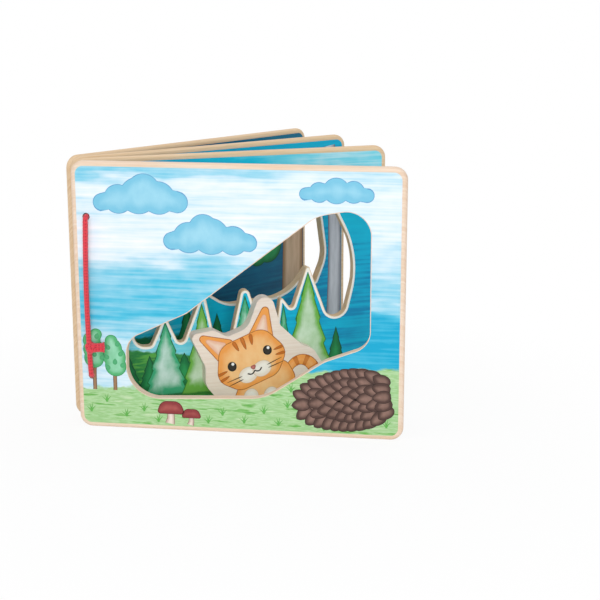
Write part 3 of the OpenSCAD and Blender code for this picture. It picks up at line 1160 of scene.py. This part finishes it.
@dataclass(frozen=True)
class PageArt:
    """The pages' prints and the back cover's: woods and trunks on washes."""

    sizes: BookSizes
    plates: dict[Board, Plate]
    primed: float = 0.35  # Bare wood round an opening
    margin: float = 1.6  # Primer and bare wood round an opening
    fir_middle: float = 0.3  # Share of its height
    # Place along, foot, width and height of each fir
    far_firs: Fours = (
        (27, 12, 17, 25), (39, 14, 14, 22), (59, 16, 17, 20), (82, 12, 17, 22),
        (106, 14, 18, 22), (150, 10, 16, 34),
    )
    mint_firs: Fours = ((48.4, 11, 25, 44), (95, 10, 25, 57), (118, 12, 14, 48))
    lime_firs: Fours = ((69.6, 10, 24, 54), (132.8, 9, 32, 69))
    deep_firs: Fours = ((68, 6, 28, 52), (88, 8, 22, 42), (112, 6, 24, 42))
    grey_foot: Pair = (170.0, 6.0)  # Place along and height of the grey trunk's foot
    grey_rise: float = 137.0  # From its foot to its top
    grey_bow: Pair = (2.6, 2.6)  # How far the trunk bows, and through what angle
    grey_lean: float = 3.6  # Of its top, towards the spine
    grey_curve: int = 4  # Power by which it leans
    grey_points: int = 24
    grey_width: Pair = (11.0, 2.6)  # At its foot, and what it loses to the top
    leaves: Cluster = Cluster(147, 78, ((0, 0, 11), (-9, -4, 8), (5, 8, 9), (-4, 9, 8)))
    # Place along, height and width, from foot to top
    brown_trunk: Triples = (
        (167.0, 6.0, 19.0), (167.6, 40.0, 18.4), (168.2, 80.0, 17.4), (168.6, 115.0, 16.8),
        (168.2, 143.0, 17.4),
    )

    def build(self) -> None:
        """Lays each board's films."""
        self.page_one()
        self.page_two()
        self.back_cover()

    def wash(self, board: Board, shares: Array | None, front: Wash) -> None:
        """Lays a board's primer and wash on its front, and a plain wash on its back.

        Args:
            board: The board.
            shares: Corners of its opening, or None.
            front: The wash.
        """
        primed, washed = (
            self.sizes.sheet(None if shares is None else self.sizes.window(shares, margin))
            for margin in (self.primed, self.margin)
        )
        plate = self.plates[board]
        plate.film(f"{board.value}_primer", primed, PRIMER)
        plate.film(f"{board.value}_wash", washed, front, 1)
        plate.film(f"{board.value}_plain_back", washed, PLAIN_SKY, side=Side.BACK)

    def firs(self, board: Board, name: str, firs: Fours, finish: Finish, layer: int) -> None:
        """Lays a row of conifers as one film.

        Args:
            board: The board.
            name: Name of the piece.
            firs: Place along, foot, width and height of each.
            finish: Their ink.
            layer: Place in the stack of films.
        """
        fields = [
            Surface.field(moved(conifer(width, height), x, foot), (x, foot + self.fir_middle * height))
            for x, foot, width, height in firs
        ]
        self.plates[board].film(name, Surface.joined(fields), finish, layer)

    def page_one(self) -> None:
        """Firs in the line of trees, on a lake-blue sky."""
        board = Board.PAGE_ONE
        self.wash(board, TREELINE_WINDOW_SHARES, PAGE_ONE_SKY)
        self.firs(board, "page_one_firs_far", self.far_firs, FIR_DEEP, 2)
        self.firs(board, "page_one_firs_mint", self.mint_firs, FIR_MINT, 3)
        self.firs(board, "page_one_firs_lime", self.lime_firs, FIR_LIME, 4)

    def page_two(self) -> None:
        """Deep firs before the hills, and a grey trunk that bows as a sine and leans back at its top."""
        board = Board.PAGE_TWO
        self.wash(board, HILL_WINDOW_SHARES, PAGE_TWO_SKY)
        self.firs(board, "page_two_firs", self.deep_firs, FIR_DEEP, 2)
        up = np.linspace(0, 1, self.grey_points)
        bow, swing = self.grey_bow
        along = self.grey_foot[0] + bow * np.sin(swing * up) - self.grey_lean * up ** self.grey_curve
        path = np.column_stack([along, self.grey_foot[1] + self.grey_rise * up])
        trunk = Surface.ribbon(path, self.grey_width[0] - self.grey_width[1] * up)
        self.plates[board].film("page_two_trunk", trunk, BARK_GREY, 2)

    def back_cover(self) -> None:
        """Leaves beside a broad brown trunk on a dusk wash."""
        board = Board.BACK_COVER
        self.wash(board, None, BACK_COVER_DUSK)
        self.plates[board].film("back_cover_leaves", self.leaves.surface(), FIR_DEEP, 2)
        rows = np.array(self.brown_trunk)
        self.plates[board].film("back_cover_trunk", Surface.ribbon(rows[:, :2], rows[:, 2]), BARK_BROWN, 3)


def both(right: Fours) -> Fours:
    """Strokes on either hand, from those on the right."""
    return tuple((hand * a, b, hand * c, d) for hand in HANDS for a, b, c, d in right)


@dataclass(frozen=True)
class FigureArt:
    """The play figure's print: a tabby kitten of a simple design, with a bare wood margin.

    What lies on the head is given in the head's own frame, round its middle and before its tilt. An oval
    is given by its width and height, an outline by its corners' places along, heights and radii, and a
    stroke by the place along and the height of its first end and of its second.
    """

    plate: Plate
    head: Pair = (33.5, 31.0)
    tilt: float = 21.0  # Degrees
    face: Triples = (
        (-22.5, -4, 9), (-12, -15.5, 9), (12, -15.5, 9), (22.5, -4, 9), (14, 14.5, 9), (-14, 14.5, 9),
    )
    muzzle: Pair = (11.5, 9.6)
    muzzle_at: Pair = (4.4, -8.2)
    muzzle_lift: float = 0.004  # Of the right half over the left one
    tail_at: Pair = (64, 16)
    tail_curl: Pair = (9.2, 12.2)  # Half its width and height
    tail_turn: Pair = (-70, 215)  # Start and sweep in degrees
    tail_width: Pair = (7.4, 2.6)  # At the root, and what it loses to the tip
    tail_taper: int = 3  # Power by which it narrows
    tail_points: int = 30
    tail_rings: tuple[int, ...] = (8, 13, 18, 23)  # The tail's points where they start
    ring_width: float = 7.2
    ring_points: int = 3  # The tail's points in each ring
    body: Triples = ((22, 3.5, 5), (58, 3.5, 6), (61, 19, 9), (54, 31, 8), (30, 24, 8))
    body_middle: Pair = (44, 14)
    paw: Pair = (9, 10)
    paws: tuple[Pair, ...] = ((34.0, 8.5), (46.0, 8.5))
    # Place along, height, turn in degrees and size of each
    ears: Fours = ((18.6, 37.4, 58.0, 0.92), (39.8, 43.2, -9.6, 1.0))
    ear: Triples = ((-8.6, -2, 2), (8.6, -2, 2), (0, 23.5, 2.4))
    ear_middle: float = 5.0
    inner_ear: Triple = (0.55, 0.62, 0.55)  # Shares of the ear's width, height and radius
    inner_rise: float = 2.4
    brow: Fours = ((0, 14.4, 0, 6.4), *both(((5.4, 13.9, 4.2, 7.4),)))
    brow_width: float = 2.4
    cheeks: Fours = both(((20.6, -1.0, 14.6, -0.8), (20.6, -5.0, 14.6, -4.0)))
    cheek_width: float = 1.9
    eye: Pair = (5.2, 5.8)
    eye_at: Pair = (11.2, 0.6)
    eye_light: Pair = (1.7, 1.8)
    eye_light_at: Pair = (0.9, 1.2)  # From the eye's middle
    lip: Pair = (2.2, 1.3)  # Half its width, and its depth
    lip_height: float = -8.6
    lip_width: float = 0.75
    lip_points: int = 15
    whiskers: Fours = both(((8.0, -7.4, 17.5, -7.02), (8.0, -9.4, 17.5, -9.62)))
    whisker_width: float = 0.55
    stroke_points: int = 9  # On each stripe and whisker
    nose: Triples = ((-2.6, 1.2, 0.9), (0, -1.9, 0.9), (2.6, 1.2, 0.9))
    nose_height: float = -5.2

    def on_head(self, points: Array) -> Array:
        """Moves points from the head's own frame to the figure's."""
        return moved(points, *self.head, self.tilt)

    def head_field(self, outline: Array, along: float, height: float, lift: float = 0.0) -> Surface:
        """Fills an outline that is drawn around a point of the head's own frame."""
        middle = self.on_head(np.array([[along, height]]))[0]
        return Surface.field(self.on_head(outline + (along, height)), middle, lift=lift)

    def strokes(self, ends: Fours, width: float) -> list[Surface]:
        """Tapered strokes on the head, which swell from one end and narrow to the other as a quarter circle.

        Args:
            ends: Place along and height of the first and of the second end of each.
            width: Their greatest width.

        Returns:
            The strokes.
        """
        share = np.linspace(0, 1, self.stroke_points)
        start, swell, tip = 0.4, 4.0, 0.02
        narrow = np.sqrt(np.maximum(1 - share ** 2, tip))
        taper = width * narrow * np.minimum(1, start + swell * share)
        lines = [np.outer(1 - share, (a, b)) + np.outer(share, (c, d)) for a, b, c, d in ends]
        return [Surface.ribbon(self.on_head(line), taper) for line in lines]

    def build(self) -> None:
        """Lays the figure's films, from the tail to the eyes."""
        self.lay_body()
        self.lay_ears()
        self.plate.film("figure_head", self.head_field(rounded(np.array(self.face)), 0, 0), COAT_ORANGE, 3)
        self.lay_stripes()
        x, z = self.muzzle_at
        muzzle = [
            self.head_field(oval(*self.muzzle), hand * x, z, self.muzzle_lift * k)
            for k, hand in enumerate(HANDS)
        ]
        self.plate.film("figure_muzzle", Surface.joined(muzzle), COAT_CREAM, 4)
        self.lay_eyes()

    def lay_body(self) -> None:
        """The body, the ringed tail beside it, which follows part of an ellipse, and the paws."""
        share = np.linspace(0, 1, self.tail_points)
        start, sweep = np.radians(self.tail_turn)
        turn = start + share * sweep
        curl = self.tail_at + np.column_stack([np.cos(turn), np.sin(turn)]) * self.tail_curl
        root, loss = self.tail_width
        narrowed = loss * share ** self.tail_taper
        self.plate.film("figure_tail", Surface.ribbon(curl, root - narrowed), COAT_ORANGE, 0)
        widths = self.ring_width - narrowed
        rings = [Surface.ribbon(curl[k:k + self.ring_points], widths[k]) for k in self.tail_rings]
        self.plate.film("figure_tail_rings", Surface.joined(rings), COAT_DEEP, 1)
        body = Surface.field(rounded(np.array(self.body)), self.body_middle)
        self.plate.film("figure_body", body, COAT_ORANGE, 1)
        paws = [Surface.field(moved(oval(*self.paw), *spot), spot) for spot in self.paws]
        self.plate.film("figure_paws", Surface.joined(paws), COAT_CREAM, 2)

    def lay_ears(self) -> None:
        """Two pointed ears, each with a pale inside."""
        outer, inner = [], []
        for x, z, turn, size in self.ears:
            corners = np.array(self.ear) * size
            middle = moved(np.array([[0, self.ear_middle]]), x, z, turn)[0]
            outer.append(Surface.field(moved(rounded(corners), x, z, turn), middle))
            inside = rounded(corners * self.inner_ear) + (0, self.inner_rise)
            inner.append(Surface.field(moved(inside, x, z, turn), middle))
        self.plate.film("figure_ears", Surface.joined(outer), COAT_ORANGE, 1)
        self.plate.film("figure_inner_ears", Surface.joined(inner), COAT_PINK, 2)

    def lay_stripes(self) -> None:
        """Dark strokes on the forehead and the cheeks."""
        stripes = self.strokes(self.brow, self.brow_width) + self.strokes(self.cheeks, self.cheek_width)
        self.plate.film("figure_stripes", Surface.joined(stripes), COAT_DEEP, 4)

    def lay_eyes(self) -> None:
        """Eyes with lights in them, the nose, the mouth of two parabolas and the whiskers."""
        x, z = self.eye_at
        dark = [self.head_field(oval(*self.eye), hand * x, z) for hand in HANDS]
        smile = np.linspace(-1, 1, self.lip_points)
        half, depth = self.lip
        for hand in HANDS:
            lips = np.column_stack([(hand + smile) * half, self.lip_height + depth * smile ** 2])
            dark.append(Surface.ribbon(self.on_head(lips), self.lip_width))
        dark += self.strokes(self.whiskers, self.whisker_width)
        self.plate.film("figure_eyes_mouth", Surface.joined(dark), EYE_BLACK, 6)
        nose = self.head_field(rounded(np.array(self.nose)), 0, self.nose_height)
        self.plate.film("figure_nose", nose, NOSE_PINK, 6)
        right, up = self.eye_light_at
        lights = [self.head_field(oval(*self.eye_light), hand * x + right, z + up) for hand in HANDS]
        self.plate.film("figure_eye_lights", Surface.joined(lights), EYE_LIGHT, 7)


@dataclass(frozen=True)
class BindingCord:
    """The braided cord: a run down either cover, stretches in the pages, arcs between boards and a knot."""

    sizes: BookSizes
    plates: dict[Board, Plate]
    radius: float = 1.5
    lay: float = 0.1  # Gap to the face that it lies on
    bend: float = 2.2  # Radius into a hole
    bow: float = 1.0  # Of a run, towards the spine
    plait: float = 3.4  # Length of one turn of the braid
    strands: int = 4  # That wind each way
    groove: float = 0.16  # Depth as a share of the radius
    sides: int = 32  # Points round the cord
    spacing: float = 0.3  # Between rings of points
    least_rings: int = 8
    sway: float = 0.45  # Lean to a hole's rim
    end_in: float = 0.1  # From a board's face to an end inside it
    cut_spread: float = 0.16  # Share of the radius that a cut end spreads
    cap_height: float = 0.3  # Height of the braid at an end's middle
    knot_at: Triple = (0.7, -2.5, 46.5)  # From the holes' line, the front face and the floor
    knot_ring: float = 1.4  # Radius of the ring that the cord is carried round
    knot_wind: float = 0.85  # Radius of its windings
    knot_flat: float = 0.95  # Its height as a share of its width
    tail_start: float = 0.6  # Of a cut end, from the knot's middle
    tail_reach: float = 6.9  # From there to the cut
    tail_back: float = 0.5  # Towards the board
    # Half the distance between the cut ends, and what they draw in by halfway
    tail_pitch: Pair = (1.35, 0.25)
    tail_rise: float = 0.4  # From there to the cut
    # Points along the middle of each stretch
    bend_points: int = 12
    run_points: int = 40
    arc_points: int = 16
    knot_points: int = 160
    tail_points: int = 20

    def tube(self, path: Array, toward: Array, cut: bool = False) -> Surface:
        """A braid carried along a path.

        Around each point the radius dips by the groove's share where two opposed sets of strands cross: the
        product of the cosines of the strands' angles, wound forwards and backwards by the distance along.

        Args:
            path: Points along the middle.
            toward: Reference direction, one or one a point, never along the path.
            cut: Whether the far end is a cut end, which spreads a little.

        Returns:
            The closed tube.
        """
        step = np.linalg.norm(np.diff(path, axis=0), axis=1)
        run = np.concatenate([[0], np.cumsum(step)])
        even = np.linspace(0, run[-1], max(self.least_rings, int(run[-1] / self.spacing)))
        path = np.column_stack([np.interp(even, run, path[:, k]) for k in range(3)])
        reference = np.broadcast_to(toward, (len(run), 3))
        toward = np.column_stack([np.interp(even, run, reference[:, k]) for k in range(3)])
        on = unit(np.gradient(path, axis=0))
        side = unit(toward - (toward * on).sum(1, keepdims=True) * on)
        other = np.cross(on, side)
        angle = np.linspace(0, 2 * pi, self.sides, endpoint=False)
        wind = 2 * pi * even[:, None] / self.plait
        height = 0.5 + 0.5 * np.cos(self.strands * angle + wind) * np.cos(self.strands * angle - wind)
        reach = self.radius * (1 - self.groove * (1 - height))
        if cut:
            near_end = np.clip(1 - (even[-1] - even) / self.radius, 0, 1)
            reach = reach * (1 + self.cut_spread * near_end)[:, None]
        ring = np.cos(angle)[None, :, None] * side[:, None] + np.sin(angle)[None, :, None] * other[:, None]
        points = (path[:, None] + reach[..., None] * ring).reshape(-1, 3)
        # The third value is the braid's height, which the cord's finish turns into painted shade in the
        # grooves
        place = np.column_stack([
            np.repeat(even, self.sides), np.tile(angle * self.radius, len(path)), height.ravel(),
        ])
        count = len(points)
        first = np.arange(self.sides)
        last = first + count - self.sides
        caps = np.vstack([
            np.stack([np.roll(first, -1), first, np.full(self.sides, count)], 1),
            np.stack([last, np.roll(last, -1), np.full(self.sides, count + 1)], 1),
        ])
        return Surface(
            np.vstack([points, path[:1], path[-1:]]),
            np.vstack([place, [(0, 0, self.cap_height), (even[-1], 0, self.cap_height)]]),
            grid_quads(len(path), self.sides, True),
            caps,
        )

    def piece(self, name: str, tubes: Sequence[Surface], plate: Plate) -> bpy.types.Object:
        """Joins tubes that are given in a plate's frame into one object."""
        return plate.piece(name, Surface.joined(tubes), CORD_RED, SLOTS["binding_cord"], smooth=True)

    def face_run(self) -> Array:
        """The run down a cover's face, from inside the lower hole to inside the upper one.

        Quarter bends join the straight stretches, and the run bows towards the spine as half a sine.

        Returns:
            Points in the cover's frame.
        """
        low, high = self.sizes.hole_heights
        inside = BOARD_T - self.end_in
        out = self.radius + self.lay
        turn = np.linspace(0, pi / 2, self.bend_points)
        depth = self.bend - out - self.bend * np.sin(turn)
        rise = self.bend * (1 - np.cos(turn))
        middle = np.linspace(low + self.bend, high - self.bend, self.run_points)[1:-1]
        up = np.concatenate([[low], low + rise, middle, high - rise[::-1], [high]])
        back = np.concatenate([[inside], depth, np.full(len(middle), -out), depth[::-1], [inside]])
        lean = self.bow * np.sin(pi * np.clip((up - low) / (high - low), 0, 1))
        return np.column_stack([self.sizes.hole_in - lean, back, up])

    def build(self) -> None:
        """Makes the cord's pieces, which ride on the board that holds them, and the arcs between two boards,
        which stay where they are made.
        """
        sideways = np.array([1.0, 0.0, 0.0])
        front, back = self.plates[Board.FRONT_COVER], self.plates[Board.BACK_COVER]
        run = self.face_run()
        first = self.piece("cord_front_run", [self.tube(run, sideways)], front)
        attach(first, front.body)
        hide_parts("binding_cord")
        behind = run * (1, -1, 1) + (-self.sway, BOARD_T, 0)
        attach(self.piece("cord_back_run", [self.tube(behind, sideways)], back), back.body)
        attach(self.piece("cord_knot", self.knot(), front), front.body)
        depth = np.array([self.end_in, BOARD_T - self.end_in])
        for board, lean in ((Board.PAGE_ONE, 0.0), (Board.PAGE_TWO, -self.sway)):
            along = self.sizes.hole_in + np.array([lean, self.sway])
            plate = self.plates[board]
            made = self.piece(f"cord_in_{board.value}", self.pair(np.column_stack([along, depth])), plate)
            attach(made, plate.body)
        boards = list(Board)
        for one, two, angle, slide in zip(boards, boards[1:], self.sizes.fan, self.sizes.slides):
            self.arcs(self.plates[one], angle, slide)

    def pair(self, flat: Array) -> list[Surface]:
        """Carries the braid along one flat path at the height of either hole.

        Args:
            flat: Rows of place along and depth.

        Returns:
            The two tubes.
        """
        upright = np.array([0.0, 0.0, 1.0])
        paths = [np.column_stack([flat, np.full(len(flat), height)]) for height in self.sizes.hole_heights]
        return [self.tube(path, upright) for path in paths]

    def arcs(self, one: Plate, angle: float, slide: float) -> None:
        """The cord between two boards: arcs about the line on which they turn, from one hole to the next.

        Args:
            one: The nearer board.
            angle: Angle between them in degrees.
            slide: How far the second is slid off the first one's spine edge.
        """
        hinge = np.array([slide - self.sizes.hinge_out, BOARD_T + self.sizes.gap / 2])
        reach = self.sizes.hole_in + self.sizes.hinge_out - slide / 2
        swing = np.linspace(0, radians(angle), self.arc_points)
        flat = hinge + reach * np.stack([np.cos(swing), np.sin(swing)], 1)
        made = self.piece(f"cord_from_{one.body}", self.pair(flat), one)
        ends = one.world(*flat[[0, -1]].T, np.zeros(2))
        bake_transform(made)

    def knot(self) -> list[Surface]:
        """The knot, carried twice round a ring while it winds thrice about the ring's line, and its cut ends.

        Returns:
            The knot's tube and the two ends'.
        """
        turn = np.linspace(0, 2 * pi, self.knot_points)
        around, about = 2 * turn, 3 * turn
        wind = self.knot_wind
        reach = self.knot_ring + wind * np.cos(about)
        centre = np.array(self.knot_at) + (self.sizes.hole_in, 0, 0)
        path = np.column_stack([
            reach * np.cos(around), -wind * np.sin(about), reach * np.sin(around) * self.knot_flat,
        ])
        toward = np.column_stack([
            np.cos(about) * np.cos(around), -np.sin(about), np.cos(about) * np.sin(around),
        ])
        tubes = [self.tube(path + centre, toward)]
        share = np.linspace(0, 1, self.tail_points)
        along = self.tail_start + self.tail_reach * share
        pitch, waist = self.tail_pitch
        for hand in HANDS:
            up = hand * (pitch - waist * np.sin(pi * share)) + self.tail_rise * share
            tail = np.column_stack([along, self.tail_back * share ** 2, up])
            tubes.append(self.tube(tail + centre, np.array([0.0, 0.0, 1.0]), cut=True))
        return tubes


# Studio


@dataclass(frozen=True)
class Lamp:
    """A square soft lamp that faces the book. Its place and size are in metres, its power in watts."""

    name: str
    spot: Triple
    size: float
    power: float

    def build(self, target: Triple) -> None:
        """Adds the lamp.

        Args:
            target: The point that it faces, in metres.
        """
        data = bpy.data.lights.new(self.name, "AREA")
        data.size = self.size
        data.energy = self.power
        lamp = bpy.data.objects.new(self.name, data)
        lamp.location = self.spot
        lamp.rotation_euler = (Vector(target) - Vector(self.spot)).to_track_quat("-Z", "Y").to_euler()
        bpy.context.scene.collection.objects.link(lamp)


@dataclass(frozen=True)
class Studio:
    """Camera at the photograph's angle, pale floor, soft lamps and a white surround."""

    eye: Triple = (132.24, -708.27, 256.75)
    pitch: float = 14.1703  # Degrees downwards
    yaw: float = -7.934  # Degrees from straight ahead
    roll: float = -0.0121
    lens: float = 82.784
    sensor: float = 36.0
    lamps: tuple[Lamp, ...] = (
        Lamp("key_lamp", (-0.7, -0.7, 1.15), 0.9, 3.5),
        Lamp("front_lamp", (0.3, -1.25, 0.45), 0.7, 7.2),
        Lamp("top_lamp", (0.2, 0.3, 1.2), 0.9, 3.0),
    )
    target: Triple = (0, 0.05, 0.07)  # Metres
    surround: float = 0.5  # Strength of its light
    floor_reach: float = 9.0  # Metres
    floor_colour: str = "#FAFAFA"
    floor_roughness: float = 0.9
    floor_white: float = 0.9  # Share of plain white that it shows by the book
    floor_fade: Pair = (0.1, 0.3)  # Metres between which it turns all white

    def build(self) -> None:
        """Sets the view transform, the camera, the floor, the lamps and the world."""
        bpy.context.scene.view_settings.view_transform = "Standard"
        self.camera()
        self.floor()
        for lamp in self.lamps:
            lamp.build(self.target)
        self.world()

    def camera(self) -> None:
        """Aims the camera by its downward pitch, its yaw from straight ahead and its roll."""
        pitch, yaw, roll = radians(self.pitch), radians(self.yaw), radians(self.roll)
        ahead = Vector((sin(yaw) * cos(pitch), cos(yaw) * cos(pitch), -sin(pitch)))
        right = Vector((cos(yaw), -sin(yaw), 0))
        up = right.cross(ahead)
        across = right * cos(roll) + up * sin(roll)
        upward = up * cos(roll) - right * sin(roll)
        data = bpy.data.cameras.new("camera")
        data.lens = self.lens
        data.sensor_width = self.sensor
        camera = bpy.data.objects.new("camera", data)
        aim = Matrix((across, upward, -ahead)).transposed().to_4x4()
        camera.matrix_world = Matrix.Translation(Vector(self.eye) * MM) @ aim
        bpy.context.scene.collection.objects.link(camera)
        bpy.context.scene.camera = camera

    @staticmethod
    def seen(tree: Tree) -> Socket:
        """Adds the test for rays that look at the background, straight or in gloss or glass.

        Args:
            tree: The node tree.

        Returns:
            Socket that is 1 for such rays.
        """
        path = add(tree, "ShaderNodeLightPath", {}).outputs
        gloss = {0: path["Is Camera Ray"], 1: path["Is Glossy Ray"]}
        either = add(tree, "ShaderNodeMath", gloss, operation="MAXIMUM").outputs[0]
        glass = {0: either, 1: path["Is Transmission Ray"]}
        return add(tree, "ShaderNodeMath", glass, operation="MAXIMUM").outputs[0]

    def floor(self) -> None:
        """A pale floor that takes the shadow near the book and is seen plain white farther out."""
        reach = self.floor_reach
        mesh = bpy.data.meshes.new("floor")
        corners = [(-reach, -reach, 0), (reach, -reach, 0), (reach, reach, 0), (-reach, reach, 0)]
        mesh.from_pydata(corners, [], [(0, 1, 2, 3)])
        made = bpy.data.materials.new("pale_floor")
        made.use_nodes = True
        tree = made.node_tree
        shader = tree.nodes["Principled BSDF"]
        shader.inputs["Base Color"].default_value = linear(self.floor_colour)
        shader.inputs["Roughness"].default_value = self.floor_roughness
        coords = add(tree, "ShaderNodeTexCoord", {}).outputs["Object"]
        far = add(tree, "ShaderNodeVectorMath", {0: coords}, operation="LENGTH").outputs["Value"]
        near, end = self.floor_fade
        limits = {"Value": far, "From Min": near, "From Max": end, "To Min": self.floor_white}
        away = add(tree, "ShaderNodeMapRange", limits, interpolation_type="SMOOTHSTEP").outputs[0]
        share = add(tree, "ShaderNodeMath", {0: away, 1: self.seen(tree)}, operation="MULTIPLY").outputs[0]
        white = add(tree, "ShaderNodeEmission", {"Color": (1, 1, 1, 1), "Strength": 1.0})
        mixed = add(tree, "ShaderNodeMixShader", {0: share, 1: shader.outputs[0], 2: white.outputs[0]})
        tree.links.new(mixed.outputs[0], tree.nodes["Material Output"].inputs["Surface"])
        mesh.materials.append(made)
        floor = bpy.data.objects.new("floor", mesh)
        bpy.context.scene.collection.objects.link(floor)

    def world(self) -> None:
        """A white surround that lights the book softly and is seen as plain white."""
        world = bpy.data.worlds.new("surround")
        world.use_nodes = True
        tree = world.node_tree
        shown = {"Value": self.seen(tree), "To Min": self.surround, "To Max": 1.0}
        strength = add(tree, "ShaderNodeMapRange", shown).outputs[0]
        background = tree.nodes["Background"]
        background.inputs["Color"].default_value = (1, 1, 1, 1)
        tree.links.new(strength, background.inputs["Strength"])
        bpy.context.scene.world = world


# The whole book


@dataclass(frozen=True)
class FigureSeat:
    """Where the play figure stands before page one."""

    from_spine: float = 62.0  # Of page one
    gap: float = 0.2  # To page one
    thickness: float = 8.0

    def plate(self, page: Plate) -> Plate:
        """The figure's own frame, parallel to the page that it stands before."""
        at = page.world(np.array([self.from_spine]), -self.thickness - self.gap, np.zeros(1))[0, :2] / MM
        return Plate(page.body, "play_figure", tuple(at), page.turn, self.thickness)


def dress_wood(plates: Sequence[Plate]) -> None:
    """Gives every CAD board and the figure its wood, with the grain along it.

    Args:
        plates: The boards and the figure.
    """
    woods = {Board.FRONT_COVER.value: COVER_WOOD, "play_figure": FIGURE_WOOD}
    for plate in plates:
        # Boards other than the front cover and the figure take the darker copy of the wood, which is painted
        # shade
        light, dark = woods.get(plate.node, SHADED_PAGE_WOOD)
        finish = BirchPly(f"birch_ply_{plate.node}", light=light, dark=dark, turn=plate.turn)
        materials = frame["nodes"][plate.node].data.materials
        materials.clear()
        materials.append(finish.material())
        LOG.info("%s: %s", plate.node, finish.name)


def main() -> None:
    """Builds the studio, the cord, the boards' and the figure's wood and prints."""
    logging.basicConfig(level=logging.INFO, format="%(name)s %(message)s")
    Studio().build()
    sizes = BookSizes()
    plates = sizes.plates()
    figure = FigureSeat().plate(plates[Board.PAGE_ONE])
    BindingCord(sizes, plates).build()
    dress_wood([*plates.values(), figure])
    CoverArt(sizes, plates[Board.FRONT_COVER]).build()
    PageArt(sizes, plates).build()
    FigureArt(figure).build()


if __name__ == "__main__":
    main()
